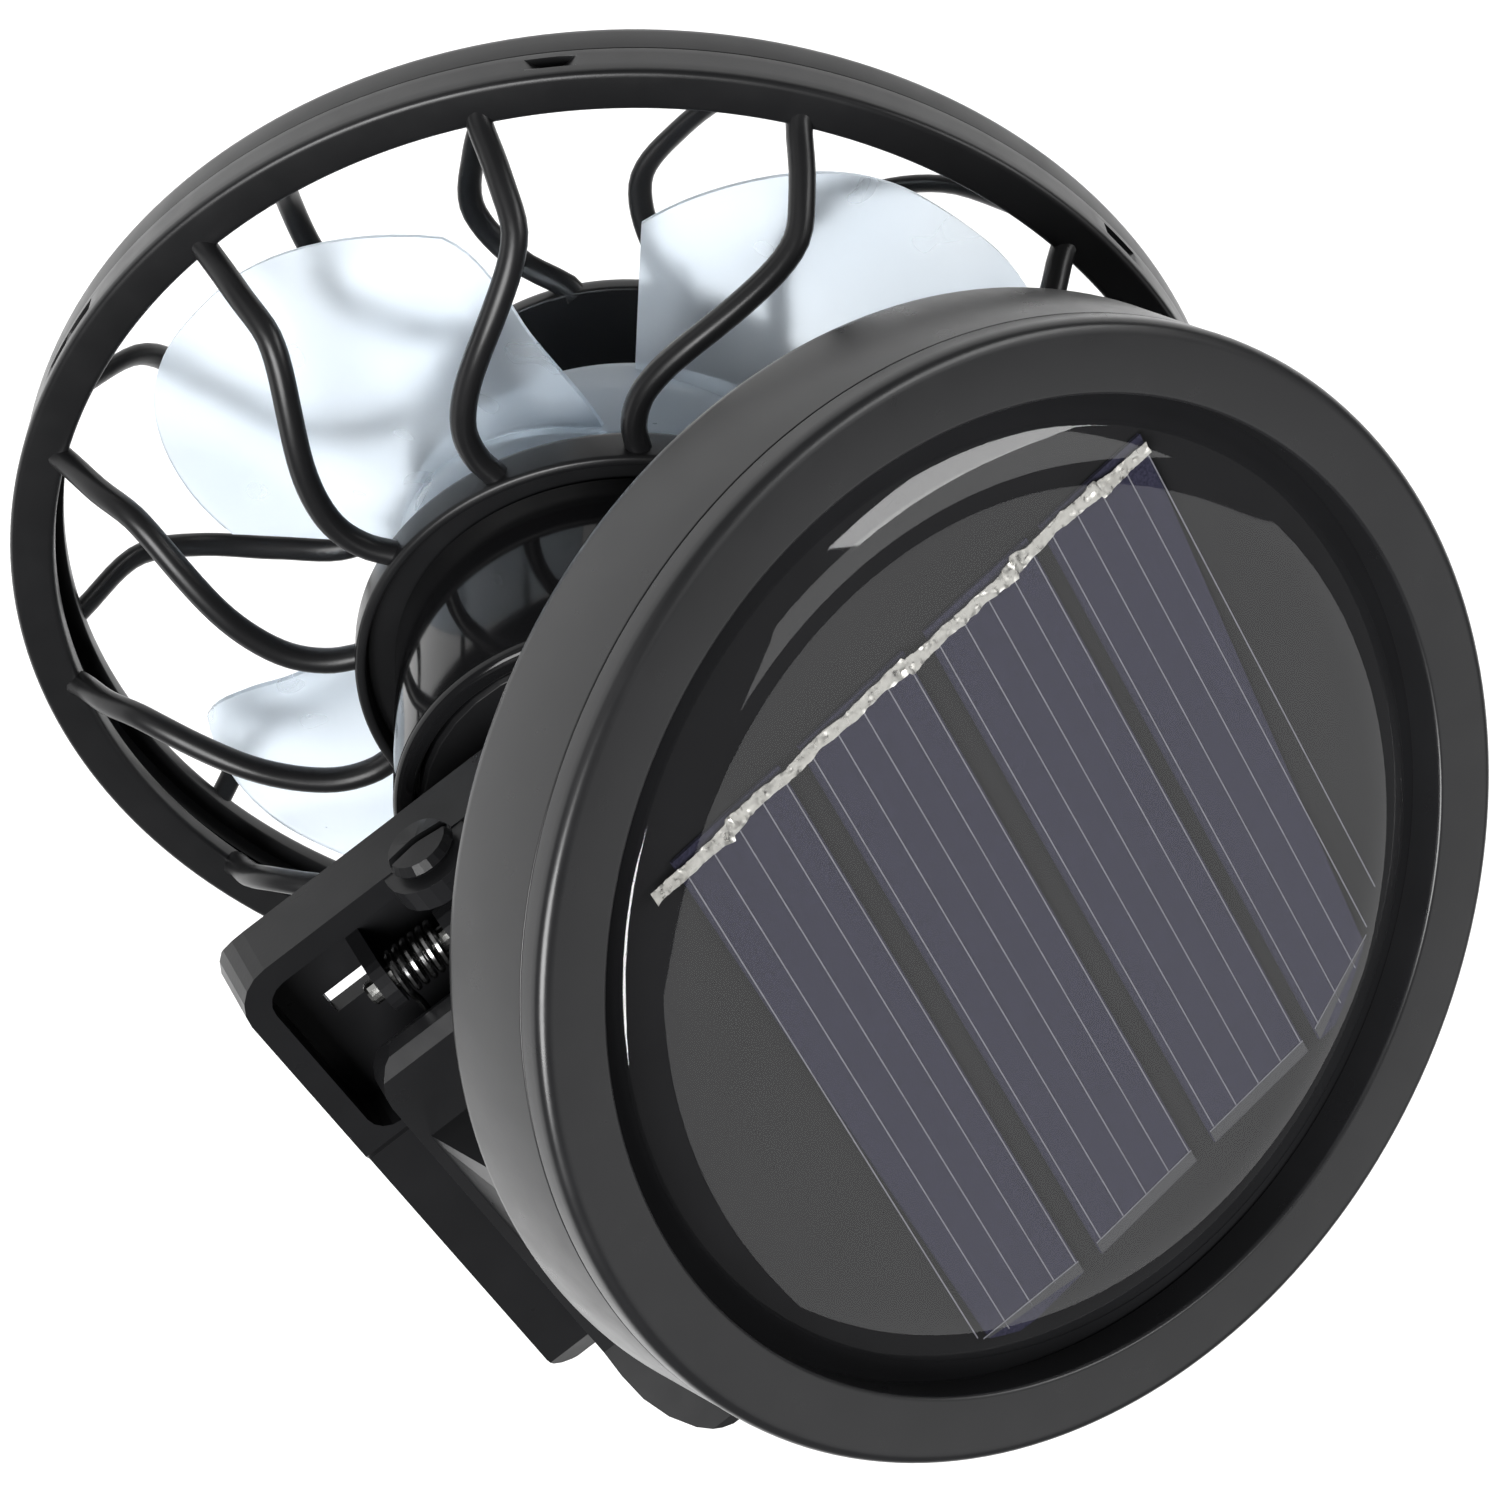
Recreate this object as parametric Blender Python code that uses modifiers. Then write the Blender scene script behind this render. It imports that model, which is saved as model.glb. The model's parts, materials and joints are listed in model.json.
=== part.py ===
"""Clip-on solar cooling fan.

A round solar head sits on the upper jaw of a spring clip. A caged four-blade fan hangs from a
tilting hinge under the lower jaw. Shapes are drawn in millimetres and each finished mesh is scaled
to metres. The row frame has its origin in the middle of the lower grip face, +Z towards the solar
head, +X from the clip's pivot to its tips and +Y along the pivot pin.
"""

import math

import bmesh
import bpy
from mathutils import Matrix, Vector

MM = 0.001

# Solar head, measured from the centre of its rim.
SOLAR_CENTRE = (-7.5, 31.5, 17.1)
SOLAR_TILT = -16.3
SOLAR_LEAN = -1.9
RIM_R = 40.3
BACK_R = 40.6
HOUSING_DEPTH = 11.4
WINDOW_R = 35.2
RESIN_R = 33.2
BOARD_R = 37.8
CELL_TURN = -5.5
CELL_LENGTH = 49.5
CELL_WIDTH = 9.8
CELL_CENTRE_U = 3.3
CELL_ROWS = (-15.2, -3.5, 8.3, 19.4)
SEAT = -HOUSING_DEPTH - 0.3
SCREW_SPOTS = ((0.6, -24.6), (8.2, -24.6))

# Fan head, measured along its own axis from the front plane of the guard ring towards the clip.
FAN_TILT = 23.2
FAN_LEAN = 2.3
HINGE = (-17.0, 0.2, -8.8)
HINGE_TO_AXIS = 12.5
HINGE_HEIGHT = 34.35
RING_R = 45.0
RING_BACK_R = 45.6
RING_BACK = 5.3
REAR_SPOKES = 12
FRONT_SPOKES = 12
SPOKE_R = 0.95
SNAP_WINDOWS = (30.0, 99.5, 157.0, 208.8, 213.6, 281.6, 335.0)
COLLAR_R = 20.1
BARREL_R = 17.2
BARREL_TOP = 30.2
BLADES = 4
BLADE_ROOT_R = 16.2
BLADE_TIP_R = 38.4
BLADE_HIGH_EDGE = 238.0
BLADE_THICKNESS = 1.1

# Clip, in the row frame.
PIVOT = (-24.0, 0.0, 0.5)
JAW_BACK = -31.0
JAW_TIP = 15.3
JAW_BOTTOM = -5.5
LOWER_HALF_WIDTH = 16.35
UPPER_HALF_WIDTH = 12.45
NOSE = -20.9
LIP = 20.3
NOSE_CORNER = 3.6
LIP_CORNER = 7.0
LUG_R = 2.0
PIN_R = 0.9
PIN_HOLE_R = 1.1
SPRING_WIRE_R = 0.3
CLIP_SCREW = (0.25, 1.4)

ROUND = 60
WELD = 0.0008

BLACK = (0.035, 0.037, 0.040)
GLOSS_BLACK = (0.020, 0.022, 0.025)
RUBBER = (0.02, 0.02, 0.02)
STEEL = (0.60, 0.60, 0.60)
BRASS = (0.72, 0.52, 0.22)
COPPER = (0.70, 0.35, 0.16)


# Plane outlines and readings.


def arc(cx, cy, radius, start, end, count):
    points = []
    for k in range(count + 1):
        angle = math.radians(start + (end - start) * k / count)
        points.append((cx + radius * math.cos(angle), cy + radius * math.sin(angle)))
    return points


def rounded_rectangle(x0, x1, y0, y1, radius, count=5):
    return (
        arc(x1 - radius, y1 - radius, radius, 0, 90, count)
        + arc(x0 + radius, y1 - radius, radius, 90, 180, count)
        + arc(x0 + radius, y0 + radius, radius, 180, 270, count)
        + arc(x1 - radius, y0 + radius, radius, 270, 360, count)
    )


def polar(radius, degrees, height):
    angle = math.radians(degrees)
    return Vector((radius * math.cos(angle), radius * math.sin(angle), height))


def between(table, x):
    """Straight-line reading of a short table of (x, value) pairs in rising x."""
    if x <= table[0][0]:
        return table[0][1]
    for (x0, v0), (x1, v1) in zip(table, table[1:]):
        if x <= x1:
            return v0 + (v1 - v0) * (x - x0) / (x1 - x0)
    return table[-1][1]


# Shapes. Each function returns a mesh in millimetres holding one closed body.


def clear_scene():
    for old in list(bpy.data.objects):
        bpy.data.objects.remove(old, do_unlink=True)
    for old in list(bpy.data.collections):
        bpy.data.collections.remove(old)


def new_object(name, data):
    obj = bpy.data.objects.new(name, data)
    PARTS.objects.link(obj)
    return obj


def applied(data, modifiers=()):
    """The mesh that a curve or a mesh with modifiers evaluates to, welded and facing out."""
    obj = new_object("sketch", data)
    for kind, settings in modifiers:
        modifier = obj.modifiers.new(kind, kind)
        for key, value in settings.items():
            setattr(modifier, key, value)
    graph = bpy.context.evaluated_depsgraph_get()
    made = bpy.data.meshes.new_from_object(obj.evaluated_get(graph))
    bpy.data.objects.remove(obj)
    work = bmesh.new()
    work.from_mesh(made)
    bmesh.ops.remove_doubles(work, verts=work.verts, dist=WELD)
    bmesh.ops.recalc_face_normals(work, faces=work.faces)
    work.to_mesh(made)
    work.free()
    return made


def turn(profile, steps=ROUND):
    """Turn an outline of (radius, height) points about Z. It is open only where it meets the axis."""
    edges = [(k, k + 1) for k in range(len(profile) - 1)]
    if profile[0][0] > 0.0:
        edges.append((len(profile) - 1, 0))
    mesh = bpy.data.meshes.new("profile")
    mesh.from_pydata([(radius, 0.0, height) for radius, height in profile], edges, [])
    screw = {
        "steps": steps,
        "render_steps": steps,
        "use_merge_vertices": True,
        "merge_threshold": 0.0001,
    }
    return applied(mesh, [("SCREW", screw)])


def new_curve(points, dimensions, closed):
    curve = bpy.data.curves.new("outline", "CURVE")
    curve.dimensions = dimensions
    spline = curve.splines.new("POLY")
    spline.points.add(len(points) - 1)
    for target, point in zip(spline.points, points):
        target.co = (*point, 1.0)
    spline.use_cyclic_u = closed
    return curve


# Where an outline's two axes and its thickness lie in space.
ALONG = {
    "X": Matrix(((0, 0, 1, 0), (1, 0, 0, 0), (0, 1, 0, 0), (0, 0, 0, 1))),
    "Y": Matrix(((1, 0, 0, 0), (0, 0, 1, 0), (0, 1, 0, 0), (0, 0, 0, 1))),
    "Z": Matrix.Identity(4),
}


def plate(outline, low, high, along="Z"):
    """Fill an outline and thicken it along one axis. X takes (y, z), Y takes (x, z), Z takes (x, y)."""
    curve = new_curve([(u, v, 0.0) for u, v in outline], "2D", True)
    curve.fill_mode = "BOTH"
    curve.extrude = (high - low) / 2
    made = applied(curve)
    return moved(made, ALONG[along] @ Matrix.Translation((0.0, 0.0, (low + high) / 2)))


def pin_shape(radius, half_length):
    """A pin along Z with broken edges."""
    tip = radius - 0.2
    side = half_length - 0.2
    profile = [(0.0, -half_length), (tip, -half_length), (radius, -side)]
    profile += [(radius, side), (tip, half_length), (0.0, half_length)]
    return turn(profile, 16)


def bore(cx, cy, radius, low, high, along="Z", sides=16):
    """A straight round cutter."""
    return plate(arc(cx, cy, radius, 0, 360 - 360 / sides, sides - 1), low, high, along)


def block(x0, x1, y0, y1, z0, z1):
    work = bmesh.new()
    bmesh.ops.create_cube(work, size=1.0)
    made = bpy.data.meshes.new("block")
    work.to_mesh(made)
    work.free()
    middle = Matrix.Translation(((x0 + x1) / 2, (y0 + y1) / 2, (z0 + z1) / 2))
    return moved(made, middle @ Matrix.Diagonal((x1 - x0, y1 - y0, z1 - z0, 1.0)))


def wire(path, radius, resolution, section=None):
    """A bar along a path with filled ends, round or with the section of another curve."""
    curve = new_curve(path, "3D", False)
    curve.bevel_depth = radius
    curve.bevel_resolution = resolution
    curve.use_fill_caps = True
    if section:
        curve.twist_mode = "Z_UP"
        curve.bevel_mode = "OBJECT"
        curve.bevel_object = section
    return applied(curve)


def hull(points):
    """The convex body round a set of points."""
    work = bmesh.new()
    for point in points:
        work.verts.new(point)
    bmesh.ops.convex_hull(work, input=work.verts)
    loose = [vert for vert in work.verts if not vert.link_faces]
    bmesh.ops.delete(work, geom=loose, context="VERTS")
    bmesh.ops.recalc_face_normals(work, faces=work.faces)
    made = bpy.data.meshes.new("hull")
    work.to_mesh(made)
    work.free()
    return made


def moved(mesh, matrix):
    mesh.transform(matrix)
    if matrix.determinant() < 0.0:
        mesh.flip_normals()
    return mesh


def turned(mesh, degrees):
    return moved(mesh, Matrix.Rotation(math.radians(degrees), 4, "Z"))


def on_solar(mesh):
    """Carry a shape from the solar head's own frame into the row frame."""
    return moved(mesh, SOLAR)


# Objects.


def carve(obj, tools, operation="DIFFERENCE"):
    """Apply one exact Boolean with the given bodies and drop them."""
    work = bmesh.new()
    for tool in tools:
        work.from_mesh(tool)
        bpy.data.meshes.remove(tool)
    cutter = bpy.data.meshes.new("cutter")
    work.to_mesh(cutter)
    work.free()
    cutter = new_object("cutter", cutter)
    boolean = obj.modifiers.new("carve", "BOOLEAN")
    boolean.operation = operation
    boolean.solver = "EXACT"
    boolean.object = cutter
    graph = bpy.context.evaluated_depsgraph_get()
    obj.data = bpy.data.meshes.new_from_object(obj.evaluated_get(graph))
    obj.modifiers.clear()
    bpy.data.objects.remove(cutter)
    tidy = bmesh.new()
    tidy.from_mesh(obj.data)
    bmesh.ops.remove_doubles(tidy, verts=tidy.verts, dist=WELD)
    bmesh.ops.dissolve_degenerate(tidy, edges=tidy.edges, dist=WELD)
    tidy.to_mesh(obj.data)
    tidy.free()


def join(obj, shapes):
    carve(obj, shapes, "UNION")


def finish(obj, colour, metallic, roughness, parent=None, alpha=1.0):
    """Scale to metres, shade, give the piece its own material and hang it on its parent."""
    obj.data.transform(Matrix.Scale(MM, 4))
    obj.data.name = obj.name
    obj.data.shade_smooth()
    obj.data.set_sharp_from_angle(angle=math.radians(32))
    material = bpy.data.materials.new(obj.name)
    material.use_nodes = True
    shader = material.node_tree.nodes["Principled BSDF"]
    shader.inputs["Base Color"].default_value = (*colour, 1.0)
    shader.inputs["Metallic"].default_value = metallic
    shader.inputs["Roughness"].default_value = roughness
    shader.inputs["Alpha"].default_value = alpha
    obj.data.materials.clear()
    obj.data.materials.append(material)
    obj.parent = parent
    return obj


def place(obj, location, rotation=(0.0, 0.0, 0.0)):
    """Location in millimetres, rotation in degrees."""
    obj.location = [value * MM for value in location]
    obj.rotation_euler = [math.radians(value) for value in rotation]


def axis_empty(name, location, rotation=(0.0, 0.0, 0.0), parent=None):
    empty = new_object(name, None)
    empty.empty_display_size = 0.01
    empty.parent = parent
    place(empty, location, rotation)
    return empty


def upper(obj, colour, metallic, roughness):
    """Finish a piece drawn in the row frame that swings with the upper jaw."""
    obj.data.transform(Matrix.Translation([-value for value in PIVOT]))
    return finish(obj, colour, metallic, roughness, clip_pivot)


def solar(obj, colour, metallic, roughness, alpha=1.0):
    """Finish a piece of the solar head, drawn from the centre of its rim."""
    return finish(obj, colour, metallic, roughness, solar_head, alpha)


def fan(obj, colour, metallic, roughness, alpha=1.0):
    """Finish a piece of the fan head, drawn from the ring's front centre."""
    return finish(obj, colour, metallic, roughness, fan_spin_axis, alpha)


clear_scene()
PARTS = bpy.data.collections.new("clip_on_solar_fan")
bpy.context.scene.collection.children.link(PARTS)

SOLAR = (
    Matrix.Translation(SOLAR_CENTRE)
    @ Matrix.Rotation(math.radians(SOLAR_TILT), 4, "X")
    @ Matrix.Rotation(math.radians(SOLAR_LEAN), 4, "Y")
)

clip_pivot = axis_empty("clip_pivot", PIVOT)
solar_head = axis_empty("solar_head", Vector(SOLAR_CENTRE) - Vector(PIVOT), parent=clip_pivot)
solar_head.rotation_mode = "YXZ"
place(solar_head, Vector(SOLAR_CENTRE) - Vector(PIVOT), (SOLAR_TILT, SOLAR_LEAN, 0.0))
fan_tilt_axis = axis_empty("fan_tilt_axis", HINGE, (FAN_TILT, 0.0, 0.0))
lean = math.radians(FAN_LEAN)
fan_spin_axis = axis_empty(
    "fan_spin_axis",
    (-BARREL_TOP * math.sin(lean), HINGE_TO_AXIS, BARREL_TOP - HINGE_HEIGHT - BARREL_TOP * math.cos(lean)),
    (0.0, FAN_LEAN, 0.0),
    fan_tilt_axis,
)


# Lower jaw: a shallow tray with the pivot lugs, the grip plateau and the fan's hinge lugs.

side = [
    (JAW_BACK, JAW_BOTTOM + 0.8),
    (JAW_BACK + 0.8, JAW_BOTTOM),
    (9.0, JAW_BOTTOM),
    (JAW_TIP - 0.6, -4.2),
    (JAW_TIP, -3.2),
    (JAW_TIP - 0.4, -2.0),
    (12.5, -0.4),
    (-12.2, -0.4),
    (-13.2, 0.5),
    (JAW_BACK, 0.5),
]
lower_jaw = new_object("lower_jaw", plate(side, -20.0, 20.0, "Y"))
plan = rounded_rectangle(JAW_BACK, JAW_TIP, -LOWER_HALF_WIDTH, LOWER_HALF_WIDTH, 3.2)
carve(lower_jaw, [plate(plan, -12.0, 12.0)], "INTERSECT")
pocket = rounded_rectangle(JAW_BACK + 1.8, -13.9, -LOWER_HALF_WIDTH + 1.8, LOWER_HALF_WIDTH - 1.8, 1.8, 4)
pad_seat = rounded_rectangle(-11.3, 11.3, -12.3, 12.3, 1.3, 3)
belly = rounded_rectangle(-8.0, 10.5, -LOWER_HALF_WIDTH + 1.9, LOWER_HALF_WIDTH - 1.9, 1.5, 3)
carve(lower_jaw, [plate(pocket, -3.9, 5.0), plate(pad_seat, -1.5, 3.0), plate(belly, -9.0, -3.2)])
pivot_lug = arc(PIVOT[0], PIVOT[2], LUG_R, 0, 180, 9) + [(-26.0, -4.6), (-22.0, -4.6)]
hinge_lug = arc(HINGE[1], HINGE[2], 2.2, 180, 360, 9) + [(2.4, -5.0), (-2.0, -5.0)]
screw_ear = arc(*CLIP_SCREW, 3.3, 0, 180, 10) + [(-3.05, -4.8), (3.55, -4.8)]
join(
    lower_jaw,
    [
        plate(pivot_lug, -8.0, -6.9, "Y"),
        plate(pivot_lug, 6.9, 8.0, "Y"),
        plate(hinge_lug, HINGE[0] - 7.6, HINGE[0] - 4.2, "X"),
        plate(hinge_lug, HINGE[0] + 4.2, HINGE[0] + 7.6, "X"),
        plate(screw_ear, JAW_BACK + 0.1, JAW_BACK + 1.9, "X"),
    ],
)
carve(
    lower_jaw,
    [
        bore(PIVOT[0], PIVOT[2], PIN_HOLE_R, -12.0, 12.0, "Y"),
        bore(HINGE[1], HINGE[2], PIN_HOLE_R, -30.0, -6.0, "X"),
        bore(*CLIP_SCREW, 1.5, -34.0, -28.0, "X"),
        block(-23.3, -21.4, -11.7, -8.3, -7.0, -2.0),
        block(-23.3, -21.4, 8.3, 11.7, -7.0, -2.0),
    ],
)
finish(lower_jaw, BLACK, 0.0, 0.45)

pad = plate(rounded_rectangle(-11, 11, -12, 12, 1.0, 3), -1.2, 0.0)
finish(new_object("lower_grip_pad", pad), RUBBER, 0.0, 0.85)

pivot_pin = finish(new_object("pivot_pin", pin_shape(PIN_R, 8.9)), STEEL, 1.0, 0.3)
place(pivot_pin, PIVOT, (-90.0, 0.0, 0.0))


def torsion_spring(name, sign):
    """A closed coil round the pin, one leg on the tray floor and one under the upper jaw."""
    turns = 5.6
    steps = 8
    coil_r = 1.55
    path = [(-14.6, sign * 2.7, -3.3), (-18.5, sign * 2.7, -3.0)]
    total = round(turns * steps)
    for k in range(total + 1):
        angle = -0.5 * math.pi - 2.0 * math.pi * k / steps
        y = sign * (2.7 + 3.75 * k / total)
        path.append((PIVOT[0] + coil_r * math.cos(angle), y, PIVOT[2] + coil_r * math.sin(angle)))
    path.append((path[-1][0] + 2.0, sign * 6.45, 0.3))
    path.append((-14.6, sign * 6.45, 0.3))
    finish(new_object(name, wire(path, SPRING_WIRE_R, 0)), STEEL, 1.0, 0.3)


torsion_spring("torsion_spring_left", -1)
torsion_spring("torsion_spring_right", 1)

profile = [(0, 0.6), (1.3, 0.6), (1.3, 3.1), (2.3, 3.1), (2.5, 3.4), (2.2, 4.1), (0, 4.4)]
clip_screw = new_object("clip_screw", turn(profile, 24))
carve(clip_screw, [block(-0.35, 0.35, -3.5, 3.5, 3.55, 6.0)])
finish(clip_screw, STEEL, 1.0, 0.35)
place(clip_screw, (JAW_BACK + 2.8, *CLIP_SCREW), (0.0, -90.0, 0.0))

fan_hinge_pin = finish(new_object("fan_hinge_pin", pin_shape(PIN_R, 7.5)), STEEL, 1.0, 0.3)
place(fan_hinge_pin, HINGE, (0.0, 90.0, 0.0))

# Upper jaw: a plate with a rounded nose and a turned-up lip, and the pedestal under the solar head.

side = [
    (-20.4, 1.0),
    (-20.8, 1.8),
    (-20.5, 2.8),
    (-19.4, 3.4),
    (11.6, 3.4),
    (18.9, 8.9),
    (19.7, 8.9),
    (20.2, 8.1),
    (13.0, 1.3),
    (12.0, 0.9),
    (-19.6, 0.9),
]
upper_jaw = new_object("upper_jaw", plate(side, -20.0, 20.0, "Y"))
plan = (
    arc(LIP - LIP_CORNER, UPPER_HALF_WIDTH - LIP_CORNER, LIP_CORNER, 0, 90, 6)
    + arc(NOSE + NOSE_CORNER, UPPER_HALF_WIDTH - NOSE_CORNER, NOSE_CORNER, 90, 180, 5)
    + arc(NOSE + NOSE_CORNER, NOSE_CORNER - UPPER_HALF_WIDTH, NOSE_CORNER, 180, 270, 5)
    + arc(LIP - LIP_CORNER, LIP_CORNER - UPPER_HALF_WIDTH, LIP_CORNER, 270, 360, 6)
)
carve(upper_jaw, [plate(plan, -12.0, 12.0)], "INTERSECT")
foot = [(-13.5, -12.0), (4.0, -12.0), (5.0, -9.0), (5.0, 12.0), (-13.5, 12.0)]
crown = [(-5.5, -37.0), (0.0, -37.6), (7.0, -37.0), (12.5, -35.2), (14.0, -32.0)]
crown += [(14.0, -20.0), (-5.5, -20.0)]
pedestal = hull([(x, y, 2.4) for x, y in foot] + [SOLAR @ Vector((x, y, SEAT)) for x, y in crown])
knuckle = arc(PIVOT[0], PIVOT[2], LUG_R, 90, 315, 9) + [(-18.4, 1.2), (-18.4, 2.5)]
join(upper_jaw, [pedestal, plate(knuckle, -2.0, 2.0, "Y")])
hollow = plate(rounded_rectangle(-3.4, 11.8, -34.0, -22.2, 1.5, 3), SEAT - 8.5, SEAT + 4.0)
carve(upper_jaw, [on_solar(hollow)])
join(upper_jaw, [on_solar(bore(x, y, 2.2, SEAT - 9.5, SEAT)) for x, y in SCREW_SPOTS])
pad_seat = plate(rounded_rectangle(-11.3, 11.3, -11.0, 11.0, 1.3, 3), -1.0, 1.8)
pin_hole = bore(PIVOT[0], PIVOT[2], PIN_HOLE_R, -12.0, 12.0, "Y")
screw_holes = [on_solar(bore(x, y, 1.15, SEAT - 7.6, SEAT + 2.0, sides=12)) for x, y in SCREW_SPOTS]
carve(upper_jaw, [pad_seat, pin_hole, *screw_holes])
upper(upper_jaw, BLACK, 0.0, 0.42)

pad = plate(rounded_rectangle(-11, 11, -10.7, 10.7, 1.0, 3), 0.3, 1.5)
upper(new_object("upper_grip_pad", pad), RUBBER, 0.0, 0.85)

# Solar head, drawn from the centre of its rim with +Z out of the window.

profile = [
    (0.0, -HOUSING_DEPTH),
    (BACK_R - 0.8, -HOUSING_DEPTH),
    (BACK_R, -HOUSING_DEPTH + 0.8),
    (RIM_R, -2.6),
    (38.6, -2.6),
    (38.4, -4.9),
    (36.2, -4.9),
    (36.2, -6.4),
    (38.2, -7.4),
    (38.2, -9.8),
    (0.0, -9.8),
]
solar_housing = new_object("solar_housing", turn(profile))
carve(solar_housing, [bore(x, y, 1.4, -14.0, -8.0, sides=12) for x, y in SCREW_SPOTS])
solar(solar_housing, BLACK, 0.0, 0.42)

profile = [
    (WINDOW_R, -0.7),
    (WINDOW_R + 0.7, 0.0),
    (RIM_R - 1.2, 0.0),
    (RIM_R - 0.3, -0.5),
    (RIM_R, -1.3),
    (RIM_R, -2.3),
    (38.2, -2.3),
    (38.2, -3.0),
    (WINDOW_R, -3.0),
]
solar(new_object("solar_bezel", turn(profile)), BLACK, 0.0, 0.38)

profile = [(0.0, -4.6), (BOARD_R, -4.6), (BOARD_R, -3.3), (0.0, -3.3)]
solar(new_object("panel_board", turn(profile, 64)), GLOSS_BLACK, 0.0, 0.3)


def cell_outline(v):
    """A strip of cell, its ends kept inside the resin's round edge."""
    points = []
    half = CELL_LENGTH / 2
    for end in (1, -1):
        for k in range(7):
            u = CELL_CENTRE_U + end * half
            w = v + end * CELL_WIDTH * (k / 6 - 0.5)
            trim = min(1.0, (RESIN_R - 0.8) / math.hypot(u, w))
            points.append((u * trim, w * trim))
    return points


for number, row in enumerate(CELL_ROWS, 1):
    cell = new_object(f"solar_cell_{number}", plate(cell_outline(row), -3.1, -2.8))
    solar(cell, (0.07, 0.07, 0.10), 0.2, 0.35)
    place(cell, (0.0, 0.0, 0.0), (0.0, 0.0, CELL_TURN))


def ribbon_outline():
    """A crinkled strip across the left ends of the cells."""
    middle = CELL_CENTRE_U - CELL_LENGTH / 2 + 0.9
    steps = 9
    left = []
    right = []
    for k in range(steps + 1):
        v = -21.6 + 44.4 * k / steps
        shift = 0.28 * math.sin(2.3 * k)
        left.append((middle - 0.85 + shift, v))
        right.append((middle + 0.85 + 0.6 * shift, v))
    return left + right[::-1]


cell_ribbon = new_object("cell_ribbon", plate(ribbon_outline(), -2.6, -2.35))
solar(cell_ribbon, (0.85, 0.85, 0.83), 1.0, 0.3)
place(cell_ribbon, (0.0, 0.0, 0.0), (0.0, 0.0, CELL_TURN))

profile = [(0.0, -2.15), (RESIN_R - 0.2, -2.15), (RESIN_R, -2.0), (RESIN_R, -1.6), (RESIN_R - 0.5, -1.2)]
profile += [(24.0, -0.72), (12.0, -0.45), (0.0, -0.38)]
solar(new_object("resin_dome", turn(profile)), (0.30, 0.31, 0.32), 0.0, 0.08, 0.35)

profile = [(0.0, SEAT - 6.9), (0.9, SEAT - 6.4), (0.9, -9.5)]
profile += [(2.3, -9.5), (2.3, -8.6), (1.8, -8.0), (0.0, -7.9)]
for number, (x, y) in enumerate(SCREW_SPOTS, 1):
    housing_screw = new_object(f"housing_screw_{number}", turn(profile, 16))
    carve(housing_screw, [block(-1.4, 1.4, -0.3, 0.3, -8.5, -6.0)])
    solar(housing_screw, STEEL, 1.0, 0.35)
    place(housing_screw, (x, y, 0.0))

# Fan head, drawn from the front centre of the ring with +Z towards the clip. Each cage rod is read
# from its radius against its height, and its radius against the angle it swings through.

REAR_RADII = (43.2, 40.0, 37.0, 34.0, 30.5, 27.0, 23.5, 19.5)
REAR_RISE = ((19.0, 14.9), (29.0, 14.3), (33.0, 13.4), (37.0, 11.4), (40.0, 8.6), (42.4, 5.1), (43.2, 4.4))
REAR_BEND = ((19.0, 14.9), (22.0, 16.6), (25.5, 14.5), (33.0, 3.4), (37.0, -0.6), (40.0, -0.2), (42.4, 1.0))
FRONT_RADII = (42.9, 40.0, 37.0, 33.5, 29.0, 25.0, 21.0, 18.0, 15.7)
FRONT_RISE = ((15.7, -8.9), (19.0, -10), (24.0, -11), (29.0, -11), (34.0, -9.8), (38.0, -6.2), (42.9, 0.2))
FRONT_BEND = ((16.0, -3.0), (19.0, 7.0), (24.0, 11.0), (29.0, 6.0), (34.0, 0.0), (38.0, -5.0), (42.0, -5.0))


def spokes(count, first, radii, bend, rise, section=None):
    """Curved rods from the ring in to the middle, evenly spaced."""
    rods = []
    for number in range(count):
        start = first + 360.0 * number / count
        path = [polar(radius, start + between(bend, radius), between(rise, radius)) for radius in radii]
        rods.append(wire(path, SPOKE_R, 1, section))
    return rods


profile = [
    (42.3, 3.7),
    (42.3, 4.7),
    (42.7, RING_BACK),
    (RING_BACK_R - 0.6, RING_BACK),
    (RING_BACK_R, RING_BACK - 0.6),
    (45.25, 2.2),
    (43.9, 2.2),
    (43.9, 3.7),
]
rear_guard = new_object("rear_guard", turn(profile))
collar = [
    (3.4, 12.6),
    (COLLAR_R - 0.6, 12.6),
    (COLLAR_R, 13.2),
    (COLLAR_R, 15.7),
    (COLLAR_R - 0.8, 15.7),
    (COLLAR_R - 0.9, 14.1),
    (3.4, 14.1),
]
join(rear_guard, [turn(collar, 40)])
join(rear_guard, spokes(REAR_SPOKES, 13.0, REAR_RADII, REAR_BEND, REAR_RISE))
carve(rear_guard, [turned(block(44.7, 47.0, -1.3, 1.3, 2.7, 4.2), degrees) for degrees in SNAP_WINDOWS])
fan(rear_guard, BLACK, 0.0, 0.42)

profile = [
    (41.9, 0.6),
    (41.9, -0.5),
    (42.5, -1.0),
    (44.3, -1.0),
    (RING_R, -0.3),
    (RING_R + 0.15, 1.9),
    (43.5, 1.9),
    (43.3, 0.6),
]
front_guard = new_object("front_guard", turn(profile))
join(front_guard, [turn([(0.0, -9.9), (15.6, -9.9), (16.3, -9.3), (16.3, -8.4), (0.0, -8.4)], 40)])
flat_bar = [(1.0 * u, 0.6 * v, 0.0) for u, v in arc(0.0, 0.0, 1.0, 30, 330, 5)]
flat_section = new_object("flat_section", new_curve(flat_bar, "2D", True))
join(front_guard, spokes(FRONT_SPOKES, 106.0, FRONT_RADII, FRONT_BEND, FRONT_RISE, flat_section))
bpy.data.objects.remove(flat_section)
fan(front_guard, BLACK, 0.0, 0.42)

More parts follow.
